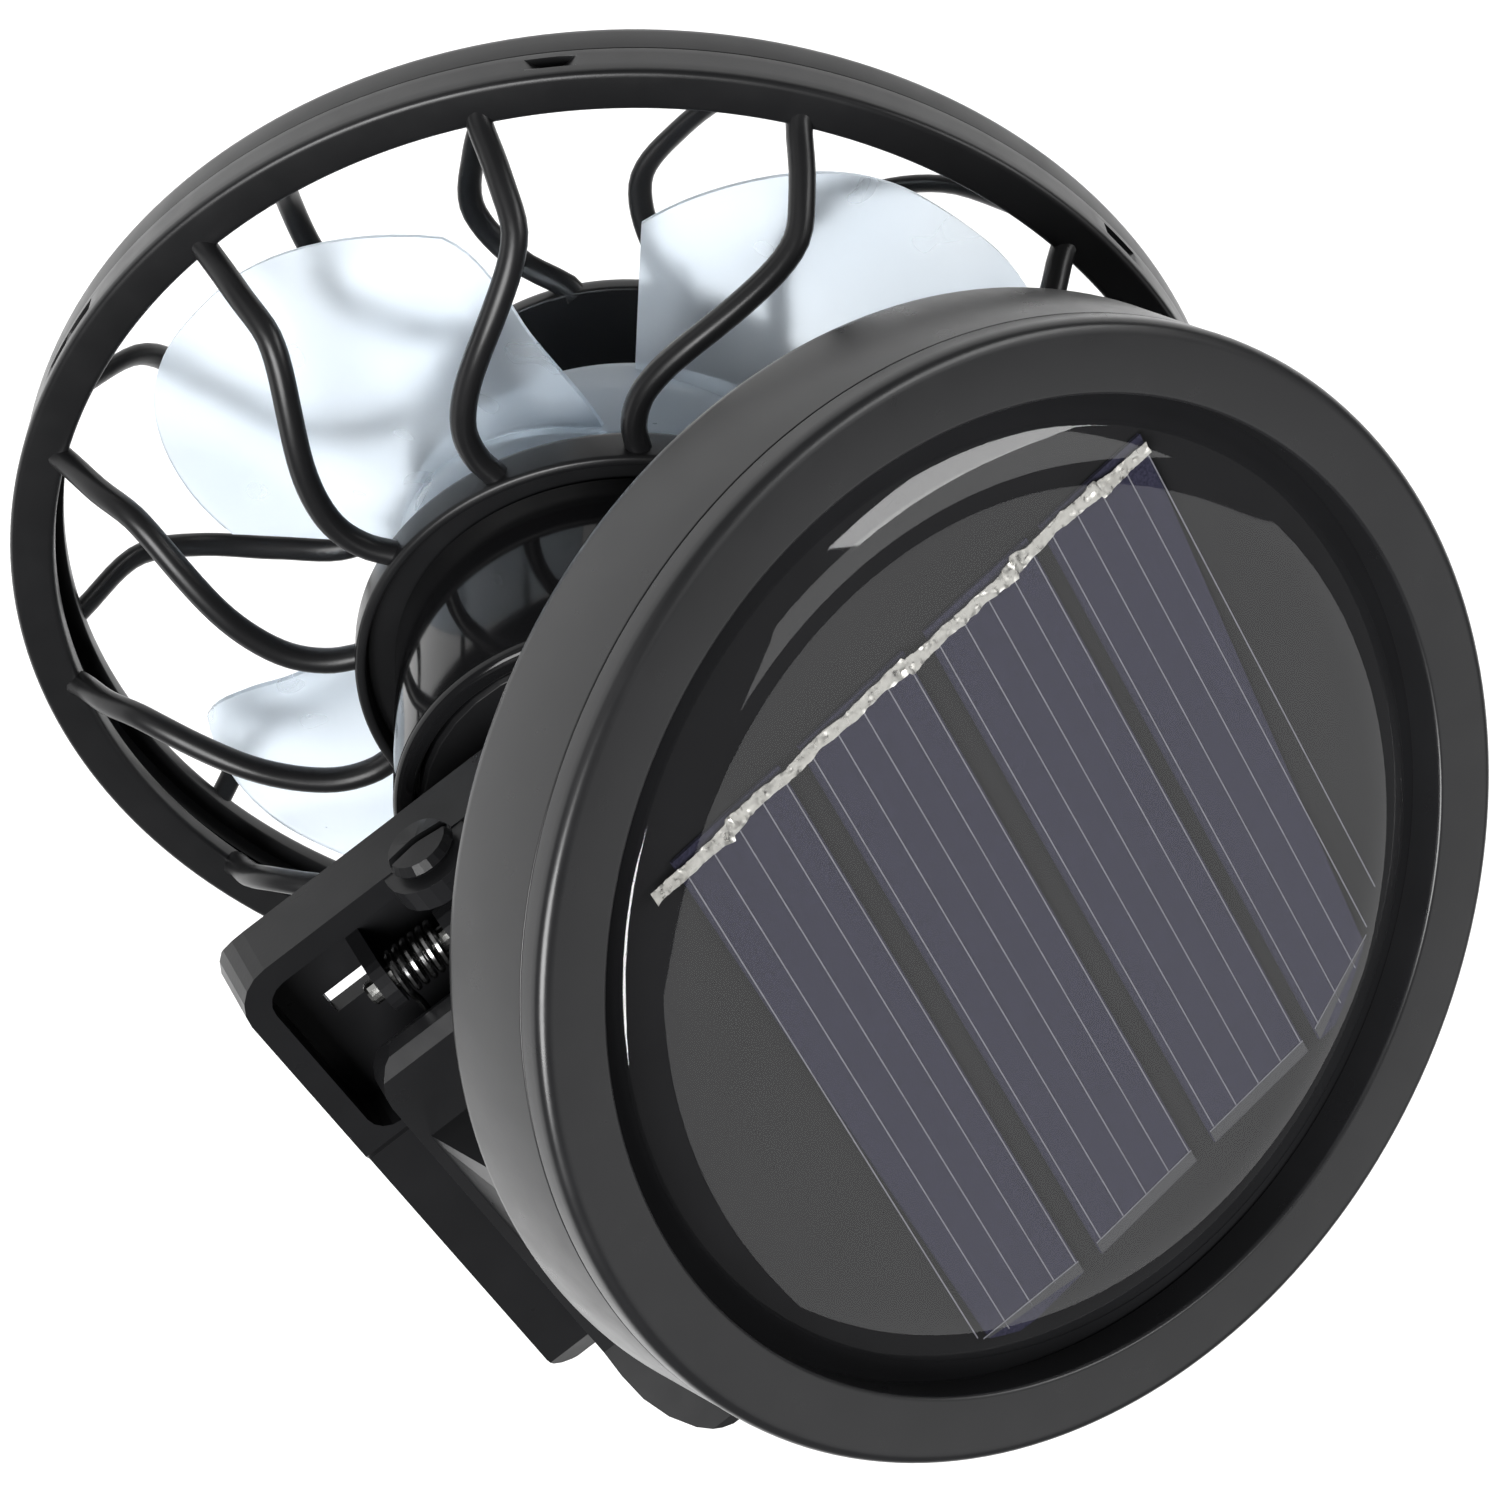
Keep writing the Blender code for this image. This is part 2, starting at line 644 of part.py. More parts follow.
profile = [
    (14.6, 14.4),
    (BARREL_R, 14.4),
    (BARREL_R, BARREL_TOP - 1.0),
    (BARREL_R - 0.3, BARREL_TOP - 0.3),
    (BARREL_R - 1.0, BARREL_TOP),
    (15.7, BARREL_TOP),
    (15.6, 28.2),
    (14.6, 28.2),
]
fan(new_object("motor_barrel", turn(profile, 40)), GLOSS_BLACK, 0.0, 0.2)

# The cap's knuckle is squared back to the hinge, which the barrel leans away from.
profile = [(0.0, 28.5), (15.3, 28.5), (15.3, 29.6), (15.0, 29.9), (0.0, 29.9)]
barrel_cap = new_object("barrel_cap", turn(profile, 40))
knuckle = arc(-HINGE_TO_AXIS, HINGE_HEIGHT, 2.2, 0, 180, 9) + [(-14.7, 29.2), (-10.3, 29.2)]
barrel_top = Matrix.Translation((0.0, 0.0, BARREL_TOP))
square_up = barrel_top @ Matrix.Rotation(-lean, 4, "Y") @ barrel_top.inverted()
join(barrel_cap, [moved(plate(knuckle, -3.9, 3.9, "X"), square_up)])
carve(barrel_cap, [moved(bore(-HINGE_TO_AXIS, HINGE_HEIGHT, PIN_HOLE_R, -9.0, 9.0, "X"), square_up)])
fan(barrel_cap, BLACK, 0.0, 0.4)

# Motor.

profile = [(2.9, 14.6), (11.6, 14.6), (12.2, 15.2), (12.2, 26.6), (11.5, 26.6), (11.5, 15.3), (2.9, 15.3)]
fan(new_object("motor_can", turn(profile, 28)), STEEL, 1.0, 0.35)

profile = [(1.4, 24.9), (10.9, 24.9), (11.2, 25.2), (11.2, 26.4), (4.0, 26.4), (3.6, 27.4), (1.4, 27.4)]
motor_end_bell = new_object("motor_end_bell", turn(profile, 28))
carve(motor_end_bell, [block(x - 0.6, x + 0.6, -1.1, 1.1, 22.0, 30.0) for x in (-9.0, 9.0)])
fan(motor_end_bell, (0.75, 0.74, 0.70), 0.0, 0.5)

motor_bush = new_object("motor_bush", turn([(1.15, 12.9), (2.5, 12.9), (2.5, 15.9), (1.15, 15.9)], 24))
fan(motor_bush, BRASS, 1.0, 0.4)

for label, middle, sign in (("left", 180.0, -1.0), ("right", 0.0, 1.0)):
    outline = arc(0, 0, 11.2, middle - 58, middle + 58, 14) + arc(0, 0, 9.3, middle + 58, middle - 58, 14)
    fan(new_object(f"magnet_{label}", plate(outline, 16.2, 24.2)), (0.10, 0.10, 0.10), 0.2, 0.6)
    outline = [(8.6, 28.3), (9.4, 28.3), (9.4, 24.4), (2.9, 24.0), (2.9, 24.3), (8.6, 24.65)]
    brush = plate([(sign * x, z) for x, z in outline], -0.8, 0.8, "Y")
    fan(new_object(f"brush_terminal_{label}", brush), COPPER, 1.0, 0.35)

# Rotor.

profile = [(0.0, 3.4), (0.8, 3.4), (1.0, 3.6), (1.0, 27.2), (0.8, 27.6), (0.0, 27.6)]
fan(new_object("motor_shaft", turn(profile, 16)), STEEL, 1.0, 0.25)

core = []
for middle in (30.0, 150.0, 270.0):
    core += arc(0, 0, 2.6, middle - 48, middle - 34, 1)
    core += [polar(7.0, middle + degrees, 0.0)[:2] for degrees in (-13, -46)]
    core += arc(0, 0, 8.6, middle - 44, middle + 44, 4)
    core += [polar(7.0, middle + degrees, 0.0)[:2] for degrees in (46, 13)]
    core += arc(0, 0, 2.6, middle + 34, middle + 48, 1)
armature_core = new_object("armature_core", plate(core, 17.4, 22.6))
carve(armature_core, [bore(0.0, 0.0, 1.15, 10.0, 30.0)])
fan(armature_core, STEEL, 1.0, 0.5)

for number, middle in enumerate((30.0, 150.0, 270.0), 1):
    winding = new_object(f"armature_winding_{number}", block(3.9, 5.6, -2.9, 2.9, 16.7, 23.3))
    carve(winding, [block(3.0, 8.0, -1.9, 1.9, 17.1, 22.9)])
    fan(winding, COPPER, 1.0, 0.4)
    place(winding, (0.0, 0.0, 0.0), (0.0, 0.0, middle))

commutator = new_object("commutator", turn([(1.15, 23.9), (2.6, 23.9), (2.6, 24.6), (1.15, 24.6)], 24))
fan(commutator, COPPER, 1.0, 0.3)

# Impeller: a cup-shaped hub with four broad blades.

profile = [
    (0.0, 0.6),
    (15.6, 0.6),
    (16.6, 1.0),
    (17.0, 2.0),
    (17.0, 9.2),
    (15.5, 9.2),
    (15.5, 2.3),
    (3.4, 2.3),
    (3.4, 10.5),
    (1.2, 10.5),
    (1.2, 3.0),
    (0.0, 3.0),
]
LOW_EDGE = ((16.2, 155.5), (22.0, 162.0), (26.0, 165.5), (30.0, 167.7), (34.0, 171.5), (38.8, 182.0))
REAR_EDGE = ((16.2, 8.2), (25.0, 8.2), (30.0, 7.2), (35.0, 5.4), (39.0, 3.6))
FRONT_EDGE = ((16.2, 1.8), (30.0, 0.9), (39.0, 1.2))


def blade_point(chord, span):
    """A place on the blade, by its share of the chord and of the span. The trailing corner is rounded off."""
    tip = BLADE_TIP_R - 9.0 * max(0.0, (chord - 0.45) / 0.55) ** 2
    radius = BLADE_ROOT_R + (tip - BLADE_ROOT_R) * span
    low = between(LOW_EDGE, radius)
    camber = 0.5 * math.sin(math.pi * chord)
    height = between(REAR_EDGE, radius) * (1.0 - chord) + between(FRONT_EDGE, radius) * chord - camber
    return polar(radius, low + (BLADE_HIGH_EDGE - low) * chord, height)


def blade():
    """One broad blade: a twisted sheet given its thickness."""
    work = bmesh.new()
    bmesh.ops.create_grid(work, x_segments=7, y_segments=5, size=0.5)
    for vert in work.verts:
        vert.co = blade_point(vert.co.x + 0.5, vert.co.y + 0.5)
    sheet = bpy.data.meshes.new("sheet")
    work.to_mesh(sheet)
    work.free()
    return applied(sheet, [("SOLIDIFY", {"thickness": BLADE_THICKNESS, "offset": 0.0})])


impeller = new_object("impeller", turn(profile, 36))
join(impeller, [turned(blade(), 360.0 * number / BLADES) for number in range(BLADES)])
fan(impeller, (0.80, 0.82, 0.84), 0.0, 0.3, 0.75)
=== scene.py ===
"""Looks of the clip-on solar fan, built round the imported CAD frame.

Each head has its own axes, read from the frame: the solar head's from its window rim, the fan
head's from its spin joint. Shapes are drawn in millimetres in those axes and scaled to metres.
A point of a turned outline is (radius, height), then the radius of its corner if it is rounded.
"""

import json
import math
import bmesh
import bpy
from mathutils import Matrix, Vector, noise


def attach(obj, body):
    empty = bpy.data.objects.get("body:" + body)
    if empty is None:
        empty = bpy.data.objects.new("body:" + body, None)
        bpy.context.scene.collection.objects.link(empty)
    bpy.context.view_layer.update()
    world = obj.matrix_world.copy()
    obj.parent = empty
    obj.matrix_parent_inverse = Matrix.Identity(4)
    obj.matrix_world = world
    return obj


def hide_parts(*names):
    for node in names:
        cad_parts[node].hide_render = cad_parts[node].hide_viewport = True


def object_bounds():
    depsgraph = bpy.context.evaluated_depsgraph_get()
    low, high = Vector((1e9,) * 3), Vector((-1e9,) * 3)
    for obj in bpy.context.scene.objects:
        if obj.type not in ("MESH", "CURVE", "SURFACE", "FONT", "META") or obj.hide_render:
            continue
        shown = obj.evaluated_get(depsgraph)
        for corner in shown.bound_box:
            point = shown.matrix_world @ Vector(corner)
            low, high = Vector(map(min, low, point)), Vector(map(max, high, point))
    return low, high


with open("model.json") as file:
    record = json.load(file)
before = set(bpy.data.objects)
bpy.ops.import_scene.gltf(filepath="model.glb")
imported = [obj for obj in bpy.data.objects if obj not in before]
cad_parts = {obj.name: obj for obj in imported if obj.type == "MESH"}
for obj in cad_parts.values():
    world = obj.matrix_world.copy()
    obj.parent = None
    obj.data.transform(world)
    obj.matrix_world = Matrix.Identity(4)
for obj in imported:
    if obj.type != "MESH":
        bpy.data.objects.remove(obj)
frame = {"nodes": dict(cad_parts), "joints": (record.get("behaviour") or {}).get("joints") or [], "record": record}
cad_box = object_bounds()

MM = 0.001
NODES = frame["nodes"]


# Axes of the two heads.


def axes_on(normal, centre):
    """Axes with Z along normal and X as near to the row's X as it can be."""
    w = Vector(normal).normalized()
    v = w.cross(Vector((1.0, 0.0, 0.0))).normalized()
    u = v.cross(w)
    turn = Matrix((u, v, w)).transposed().to_4x4()
    return Matrix.Translation(centre) @ turn @ Matrix.Scale(MM, 4)


def mean_corner(node):
    """The middle of a turned node, each corner counted once."""
    corners = {tuple(round(c, 6) for c in vert.co) for vert in NODES[node].data.vertices}
    return sum((Vector(c) for c in corners), Vector()) / len(corners)


def window_axes():
    rim = next(m for m in frame["record"]["mounts"] if m["name"] == "window_rim")
    normal = Vector(rim["axis"]).normalized()
    middle = mean_corner("solar_bezel")
    lift = (Vector(rim["pos_m"]) - middle).dot(normal)
    return axes_on(normal, middle + normal * lift)


def ring_axes():
    spin = next(j for j in frame["joints"] if j["name"] == "fan_spin")
    axis = Vector(spin["axis"]).normalized()
    return axes_on(axis, Vector(spin["pos_m"]) - axis * SPIN_POINT * MM)


SPIN_POINT = 8.0
SOLAR = window_axes()
FAN = ring_axes()
ROW = Matrix.Scale(MM, 4)


# Curves and shapes.


def through(table, x):
    """Smooth reading of a short table of (x, value) pairs in rising x."""
    if x <= table[0][0]:
        return table[0][1]
    if x >= table[-1][0]:
        return table[-1][1]
    i = next(k for k in range(1, len(table)) if x <= table[k][0]) - 1
    (x0, v0), (x1, v1) = table[i], table[i + 1]
    before = table[i - 1] if i > 0 else (2 * x0 - x1, 2 * v0 - v1)
    after = table[i + 2] if i + 2 < len(table) else (2 * x1 - x0, 2 * v1 - v0)
    slope0 = (v1 - before[1]) / (x1 - before[0])
    slope1 = (after[1] - v0) / (after[0] - x0)
    step = x1 - x0
    t = (x - x0) / step
    a = (1 + 2 * t) * (1 - t) ** 2
    b = t * (1 - t) ** 2
    return a * v0 + b * step * slope0 + t * t * (3 - 2 * t) * v1 + t * t * (t - 1) * step * slope1


def polar(radius, degrees, height):
    angle = math.radians(degrees)
    return Vector((radius * math.cos(angle), radius * math.sin(angle), height))


def softened(points, steps=4):
    """Round the corners of a closed outline of (x, y, radius) points."""
    outline = []
    for i, (x, y, radius) in enumerate(points):
        corner = Vector((x, y))
        back = Vector(points[i - 1][:2]) - corner
        ahead = Vector(points[(i + 1) % len(points)][:2]) - corner
        if radius <= 0.0:
            outline.append((x, y))
            continue
        half = back.angle(ahead) / 2
        reach = min(radius / math.tan(half), back.length * 0.48, ahead.length * 0.48)
        start = corner + back.normalized() * reach
        end = corner + ahead.normalized() * reach
        for k in range(steps + 1):
            t = k / steps
            point = start * (1 - t) ** 2 + corner * 2 * t * (1 - t) + end * t * t
            outline.append((point.x, point.y))
    return outline


def add_turned(work, outline, steps=192):
    """Turn a closed outline of (radius, height) points about Z. Points on the axis become one vertex."""
    rings = []
    for radius, height in outline:
        if radius < 1e-6:
            rings.append([work.verts.new((0.0, 0.0, height))] * steps)
            continue
        rings.append([work.verts.new(polar(radius, 360.0 * k / steps, height)) for k in range(steps)])
    for here, there in zip(rings, rings[1:] + rings[:1]):
        for k in range(steps):
            n = (k + 1) % steps
            face = list(dict.fromkeys((here[k], here[n], there[n], there[k])))
            if len(face) > 2:
                work.faces.new(face)


def add_rod(work, path, radius, sides=12, flatness=1.0):
    """Sweep a round or flattened section along a path and cap both ends."""
    rings = []
    side = Vector((0.0, 0.0, 1.0))
    for i, point in enumerate(path):
        ahead = (path[min(i + 1, len(path) - 1)] - path[max(i - 1, 0)]).normalized()
        side = (side - ahead * side.dot(ahead)).normalized()
        across = ahead.cross(side)
        ring = []
        for k in range(sides):
            angle = 2.0 * math.pi * (k + 0.5) / sides
            offset = side * (flatness * math.sin(angle)) + across * math.cos(angle)
            ring.append(work.verts.new(point + offset * radius))
        rings.append(ring)
    for here, there in zip(rings, rings[1:]):
        for k in range(sides):
            n = (k + 1) % sides
            work.faces.new((here[k], here[n], there[n], there[k]))
    work.faces.new(rings[0][::-1])
    work.faces.new(rings[-1])


def add_slab(work, outline, low, high):
    """Thicken a closed outline of (x, y) points between two heights."""
    bottom = [work.verts.new((x, y, low)) for x, y in outline]
    top = [work.verts.new((x, y, high)) for x, y in outline]
    work.faces.new(bottom[::-1])
    work.faces.new(top)
    for k in range(len(outline)):
        n = (k + 1) % len(outline)
        work.faces.new((bottom[k], bottom[n], top[n], top[k]))


def add_skin(work, bottom, top):
    """Face two matching grids of vertices and close the gap round their border."""
    rows = len(bottom) - 1
    across = len(bottom[0]) - 1
    for sheet in (bottom, top):
        for i in range(rows):
            for j in range(across):
                work.faces.new((sheet[i][j], sheet[i][j + 1], sheet[i + 1][j + 1], sheet[i + 1][j]))
    border = [(0, j) for j in range(across)] + [(i, across) for i in range(rows)]
    border += [(rows, j) for j in range(across, 0, -1)] + [(i, 0) for i in range(rows, 0, -1)]
    for (i, j), (m, n) in zip(border, border[1:] + border[:1]):
        work.faces.new((bottom[i][j], bottom[m][n], top[m][n], top[i][j]))


def piece(name, work, axes, body, material, *nodes, sharp=40.0):
    """Turn drawn faces into a smooth-shaded piece that rides on a body and stands for CAD nodes."""
    bmesh.ops.recalc_face_normals(work, faces=work.faces)
    data = bpy.data.meshes.new(name)
    work.to_mesh(data)
    work.free()
    data.transform(axes)
    data.shade_smooth()
    data.set_sharp_from_angle(angle=math.radians(sharp))
    data.materials.append(material)
    obj = bpy.data.objects.new(name, data)
    bpy.context.scene.collection.objects.link(obj)
    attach(obj, body)
    if nodes:
        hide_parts(*nodes)
    return obj


# Materials.


def new_material(name, colour, roughness, **settings):
    material = bpy.data.materials.new(name)
    material.use_nodes = True
    shader = material.node_tree.nodes["Principled BSDF"]
    shader.inputs["Base Color"].default_value = (*colour, 1.0)
    shader.inputs["Roughness"].default_value = roughness
    for key, value in settings.items():
        shader.inputs[key.replace("_", " ")].default_value = value
    return material


def add_noise(material, scale, detail=4.0, stretch=(1.0, 1.0, 1.0)):
    tree = material.node_tree
    place = tree.nodes.new("ShaderNodeTexCoord")
    mapping = tree.nodes.new("ShaderNodeMapping")
    mapping.inputs["Scale"].default_value = stretch
    texture = tree.nodes.new("ShaderNodeTexNoise")
    texture.inputs["Scale"].default_value = scale
    texture.inputs["Detail"].default_value = detail
    tree.links.new(place.outputs["Object"], mapping.inputs["Vector"])
    tree.links.new(mapping.outputs["Vector"], texture.inputs["Vector"])
    return texture.outputs["Fac"]


def vary(material, socket, source, low, high):
    """Run one of the shader's values between two limits, following a texture."""
    tree = material.node_tree
    shader = tree.nodes["Principled BSDF"]
    spread = tree.nodes.new("ShaderNodeMapRange")
    spread.inputs["From Min"].default_value = 0.25
    spread.inputs["From Max"].default_value = 0.75
    spread.inputs["To Min"].default_value = low
    spread.inputs["To Max"].default_value = high
    tree.links.new(source, spread.inputs["Value"])
    tree.links.new(spread.outputs["Result"], shader.inputs[socket])


def tint(material, source, dark, light):
    """Run the base colour between two colours, following a texture."""
    tree = material.node_tree
    shader = tree.nodes["Principled BSDF"]
    ramp = tree.nodes.new("ShaderNodeValToRGB")
    ramp.color_ramp.elements[0].position = 0.25
    ramp.color_ramp.elements[0].color = (*dark, 1.0)
    ramp.color_ramp.elements[1].position = 0.75
    ramp.color_ramp.elements[1].color = (*light, 1.0)
    tree.links.new(source, ramp.inputs["Fac"])
    tree.links.new(ramp.outputs["Color"], shader.inputs["Base Color"])


def roughen(material, source, strength, depth_mm):
    tree = material.node_tree
    shader = tree.nodes["Principled BSDF"]
    bump = tree.nodes.new("ShaderNodeBump")
    bump.inputs["Strength"].default_value = strength
    bump.inputs["Distance"].default_value = depth_mm * MM
    tree.links.new(source, bump.inputs["Height"])
    tree.links.new(bump.outputs["Normal"], shader.inputs["Normal"])


def moulded(name, shade, low, high, grain=0.012, mirror=0.5):
    """Moulded plastic: fine grain, a little cloudiness and patches of different gloss."""
    neutral = (shade, shade, shade * 1.08)
    material = new_material(name, neutral, low, Specular_IOR_Level=mirror)
    dark = (shade * 0.88, shade * 0.89, shade * 0.95)
    light = (shade * 1.12, shade * 1.13, shade * 1.22)
    tint(material, add_noise(material, 90.0), dark, light)
    vary(material, "Roughness", add_noise(material, 320.0), low, high)
    roughen(material, add_noise(material, 3200.0, 2.0), 0.35, grain)
    return material


def metal(name, colour, low, high, stretch=(1.0, 1.0, 1.0)):
    material = new_material(name, colour, low, Metallic=1.0)
    brushed = add_noise(material, 1800.0, 3.0, stretch)
    vary(material, "Roughness", brushed, low, high)
    tint(material, brushed, tuple(c * 0.8 for c in colour), tuple(min(1.0, c * 1.1) for c in colour))
    roughen(material, brushed, 0.3, 0.01)
    return material


def resin_material():
    """Clear cast resin: it mirrors by Fresnel and lets the rest of the light through."""
    material = new_material("clear_resin", (1.0, 1.0, 1.0), 0.03, Metallic=1.0)
    tree = material.node_tree
    shader = tree.nodes["Principled BSDF"]
    gloss = tree.nodes.new("ShaderNodeFresnel")
    gloss.inputs["IOR"].default_value = 1.55
    inside = tree.nodes.new("ShaderNodeNewGeometry")
    outer_only = tree.nodes.new("ShaderNodeMath")
    outer_only.operation = "SUBTRACT"
    outer_only.use_clamp = True
    tree.links.new(gloss.outputs["Fac"], outer_only.inputs[0])
    tree.links.new(inside.outputs["Backfacing"], outer_only.inputs[1])
    tree.links.new(outer_only.outputs["Value"], shader.inputs["Alpha"])
    vary(material, "Roughness", add_noise(material, 60.0), 0.02, 0.05)
    roughen(material, add_noise(material, 45.0, 1.0), 0.04, 0.05)
    return material


def cell_material():
    """Dark silicon: a fine crystal speckle that runs between dark blue and a lighter blue-violet."""
    material = new_material("silicon_cell", (0.03, 0.03, 0.05), 0.35, Specular_IOR_Level=0.0)
    speckle = add_noise(material, 5200.0, 3.0)
    tint(material, speckle, (0.011, 0.011, 0.021), (0.034, 0.033, 0.058))
    vary(material, "Roughness", add_noise(material, 1500.0), 0.28, 0.5)
    roughen(material, speckle, 0.5, 0.02)
    return material


def blade_material():
    """Milky translucent plastic that blurs what is behind it."""
    material = new_material(
        "milky_blade", (0.86, 0.90, 0.94), 0.3, Transmission_Weight=0.8, IOR=1.2
    )
    cloud = add_noise(material, 60.0, 1.0)
    tint(material, cloud, (0.72, 0.80, 0.88), (0.84, 0.90, 0.95))
    vary(material, "Roughness", add_noise(material, 200.0, 1.0), 0.26, 0.36)
    return material


SATIN = moulded("satin_black", 0.008, 0.28, 0.38, 0.006, mirror=0.3)
HOUSING_SATIN = moulded("housing_satin_black", 0.011, 0.26, 0.34, 0.005, mirror=0.42)
GLOSS = moulded("gloss_black", 0.006, 0.06, 0.12, 0.001, mirror=0.19)
CLIP = moulded("clip_black", 0.011, 0.26, 0.40, 0.015, mirror=0.16)
RUBBER = moulded("pad_rubber", 0.018, 0.75, 0.9, 0.04)
STEEL = metal("plated_steel", (0.62, 0.62, 0.60), 0.16, 0.32)
WIRE = metal("spring_wire", (0.22, 0.22, 0.22), 0.14, 0.26)
DARK_SCREW = moulded("blackened_screw", 0.007, 0.26, 0.4, 0.01, mirror=0.18)
COPPER = metal("enamelled_copper", (0.72, 0.34, 0.16), 0.25, 0.4, (1.0, 1.0, 6.0))
BRASS = metal("sintered_brass", (0.70, 0.52, 0.24), 0.3, 0.5)
NYLON = moulded("natural_nylon", 0.62, 0.42, 0.55)
FERRITE = moulded("bonded_ferrite", 0.05, 0.55, 0.7, 0.03)
RIBBON = metal("tinned_ribbon", (0.66, 0.65, 0.61), 0.2, 0.5)
FINGER = metal("printed_finger", (0.30, 0.30, 0.34), 0.5, 0.65)
BOARD = moulded("panel_black", 0.012, 0.5, 0.6, 0.004, mirror=0.0)
CELL_END = moulded("cell_end_strip", 0.05, 0.3, 0.45, mirror=0.0)
RESIN = resin_material()
CELL = cell_material()
BLADE = blade_material()


# Solar head.

RIM_R = 40.3
WINDOW_R = 35.2
RESIN_R = 33.2


def solar_shell():
    work = bmesh.new()
    outline = [
        (0.0, -11.4, 0.0),
        (40.6, -11.4, 1.0),
        (RIM_R, -2.36, 0.12),
        (38.6, -2.36, 0.0),
        (38.4, -4.9, 0.0),
        (36.2, -4.9, 0.0),
        (36.2, -6.4, 0.0),
        (38.2, -7.4, 0.0),
        (38.2, -9.8, 0.0),
        (0.0, -9.8, 0.0),
    ]
    add_turned(work, softened(outline))
    piece("solar_shell", work, SOLAR, "upper_jaw", HOUSING_SATIN, "solar_housing")


def solar_rim():
    work = bmesh.new()
    outline = [
        (WINDOW_R, -3.0, 0.0),
        (38.2, -3.0, 0.0),
        (38.2, -2.3, 0.0),
        (RIM_R, -2.3, 0.12),
        (RIM_R, 0.0, 1.5),
        (WINDOW_R, 0.0, 0.35),
    ]
    add_turned(work, softened(outline, 6))
    piece("solar_rim", work, SOLAR, "upper_jaw", HOUSING_SATIN, "solar_bezel")


def resin_lens():
    """A shallow dome whose edge rolls down into the groove."""
    crown = -0.38
    shoulder = 28.5
    rings = 100
    outline = [(0.0, -2.15), (RESIN_R - 0.25, -2.15), (RESIN_R, -1.95)]
    for k in range(rings + 1):
        radius = (RESIN_R - 0.05) * (1 - k / rings)
        bow = 0.12 * (radius / shoulder) ** 2
        droop = max(0.0, (radius - shoulder) / (RESIN_R - shoulder))
        outline.append((radius, crown - bow - 1.05 * droop ** 2.2))
    work = bmesh.new()
    add_turned(work, outline)
    piece("resin_lens", work, SOLAR, "upper_jaw", RESIN, "resin_dome", sharp=80.0)


CELL_TURN = Matrix.Rotation(math.radians(-5.5), 4, "Z")
CELL_ROWS = (-15.2, -3.5, 8.3, 19.4)
FINGERS = (-4.45, -2.1, 0.25, 2.6, 4.7)
FINGER_LEFT = -20.6
FINGER_RIGHT = 26.9
FINGER_WIDTH = 0.096
CELL_RIGHT = 28.0
CELL_HALF = 4.9
PRINT_LOW = -2.79
PRINT_THICK = 0.03
END_LINE_LOW = -2.75


def inside_resin(u, v):
    """Pull a point in to stay under the resin."""
    trim = min(1.0, (RESIN_R - 0.9) / math.hypot(u, v))
    return (u * trim, v * trim)


def cell_print():
    """The fine conductor lines along each cell, the line across its end and a strip beyond it."""
    work = bmesh.new()
    half = FINGER_WIDTH / 2
    for row in CELL_ROWS:
        for offset in FINGERS:
            v = row + offset
            right = min(FINGER_RIGHT, math.sqrt((RESIN_R - 1.0) ** 2 - v * v))
            left = max(FINGER_LEFT, -math.sqrt((RESIN_R - 1.0) ** 2 - v * v))
            corners = [(left, v - half), (right, v - half), (right, v + half), (left, v + half)]
            add_slab(work, corners, PRINT_LOW, PRINT_LOW + PRINT_THICK)
        low = inside_resin(FINGER_RIGHT, row - CELL_HALF)
        high = inside_resin(FINGER_RIGHT, row + CELL_HALF)
        corners = [(low[0] - half, low[1]), (low[0] + half, low[1])]
        corners += [(high[0] + half, high[1]), (high[0] - half, high[1])]
        add_slab(work, corners, END_LINE_LOW, END_LINE_LOW + PRINT_THICK)
    obj = piece("cell_print", work, SOLAR @ CELL_TURN, "upper_jaw", FINGER)
    work = bmesh.new()
    for row in CELL_ROWS:
        inner = [inside_resin(FINGER_RIGHT + 0.1, row + s * CELL_HALF) for s in (-1, 1)]
        outer = [inside_resin(CELL_RIGHT, row + s * CELL_HALF) for s in (-1, 1)]
        if outer[0][0] - inner[0][0] > 0.3 and outer[1][0] - inner[1][0] > 0.3:
            add_slab(work, [inner[0], outer[0], outer[1], inner[1]], PRINT_LOW, PRINT_LOW + PRINT_THICK)
    obj = piece("cell_end_strips", work, SOLAR @ CELL_TURN, "upper_jaw", CELL_END)


RIBBON_JOINTS = (-15.6, 0.8, 11.1, 19.5)
RIBBON_LOW = -22.6
RIBBON_HIGH = 24.2
RIBBON_MIDDLE = -20.65
RIBBON_THICK = 0.05
RIBBON_HEIGHT = -2.42


def crease(u, v):
    coarse = noise.noise(Vector((u * 1.2, v * 1.6, 5.0)))
    fine = noise.noise(Vector((u * 3.0, v * 3.6, 8.0)))
    return max(-1.0, min(1.0, coarse + 0.8 * fine))


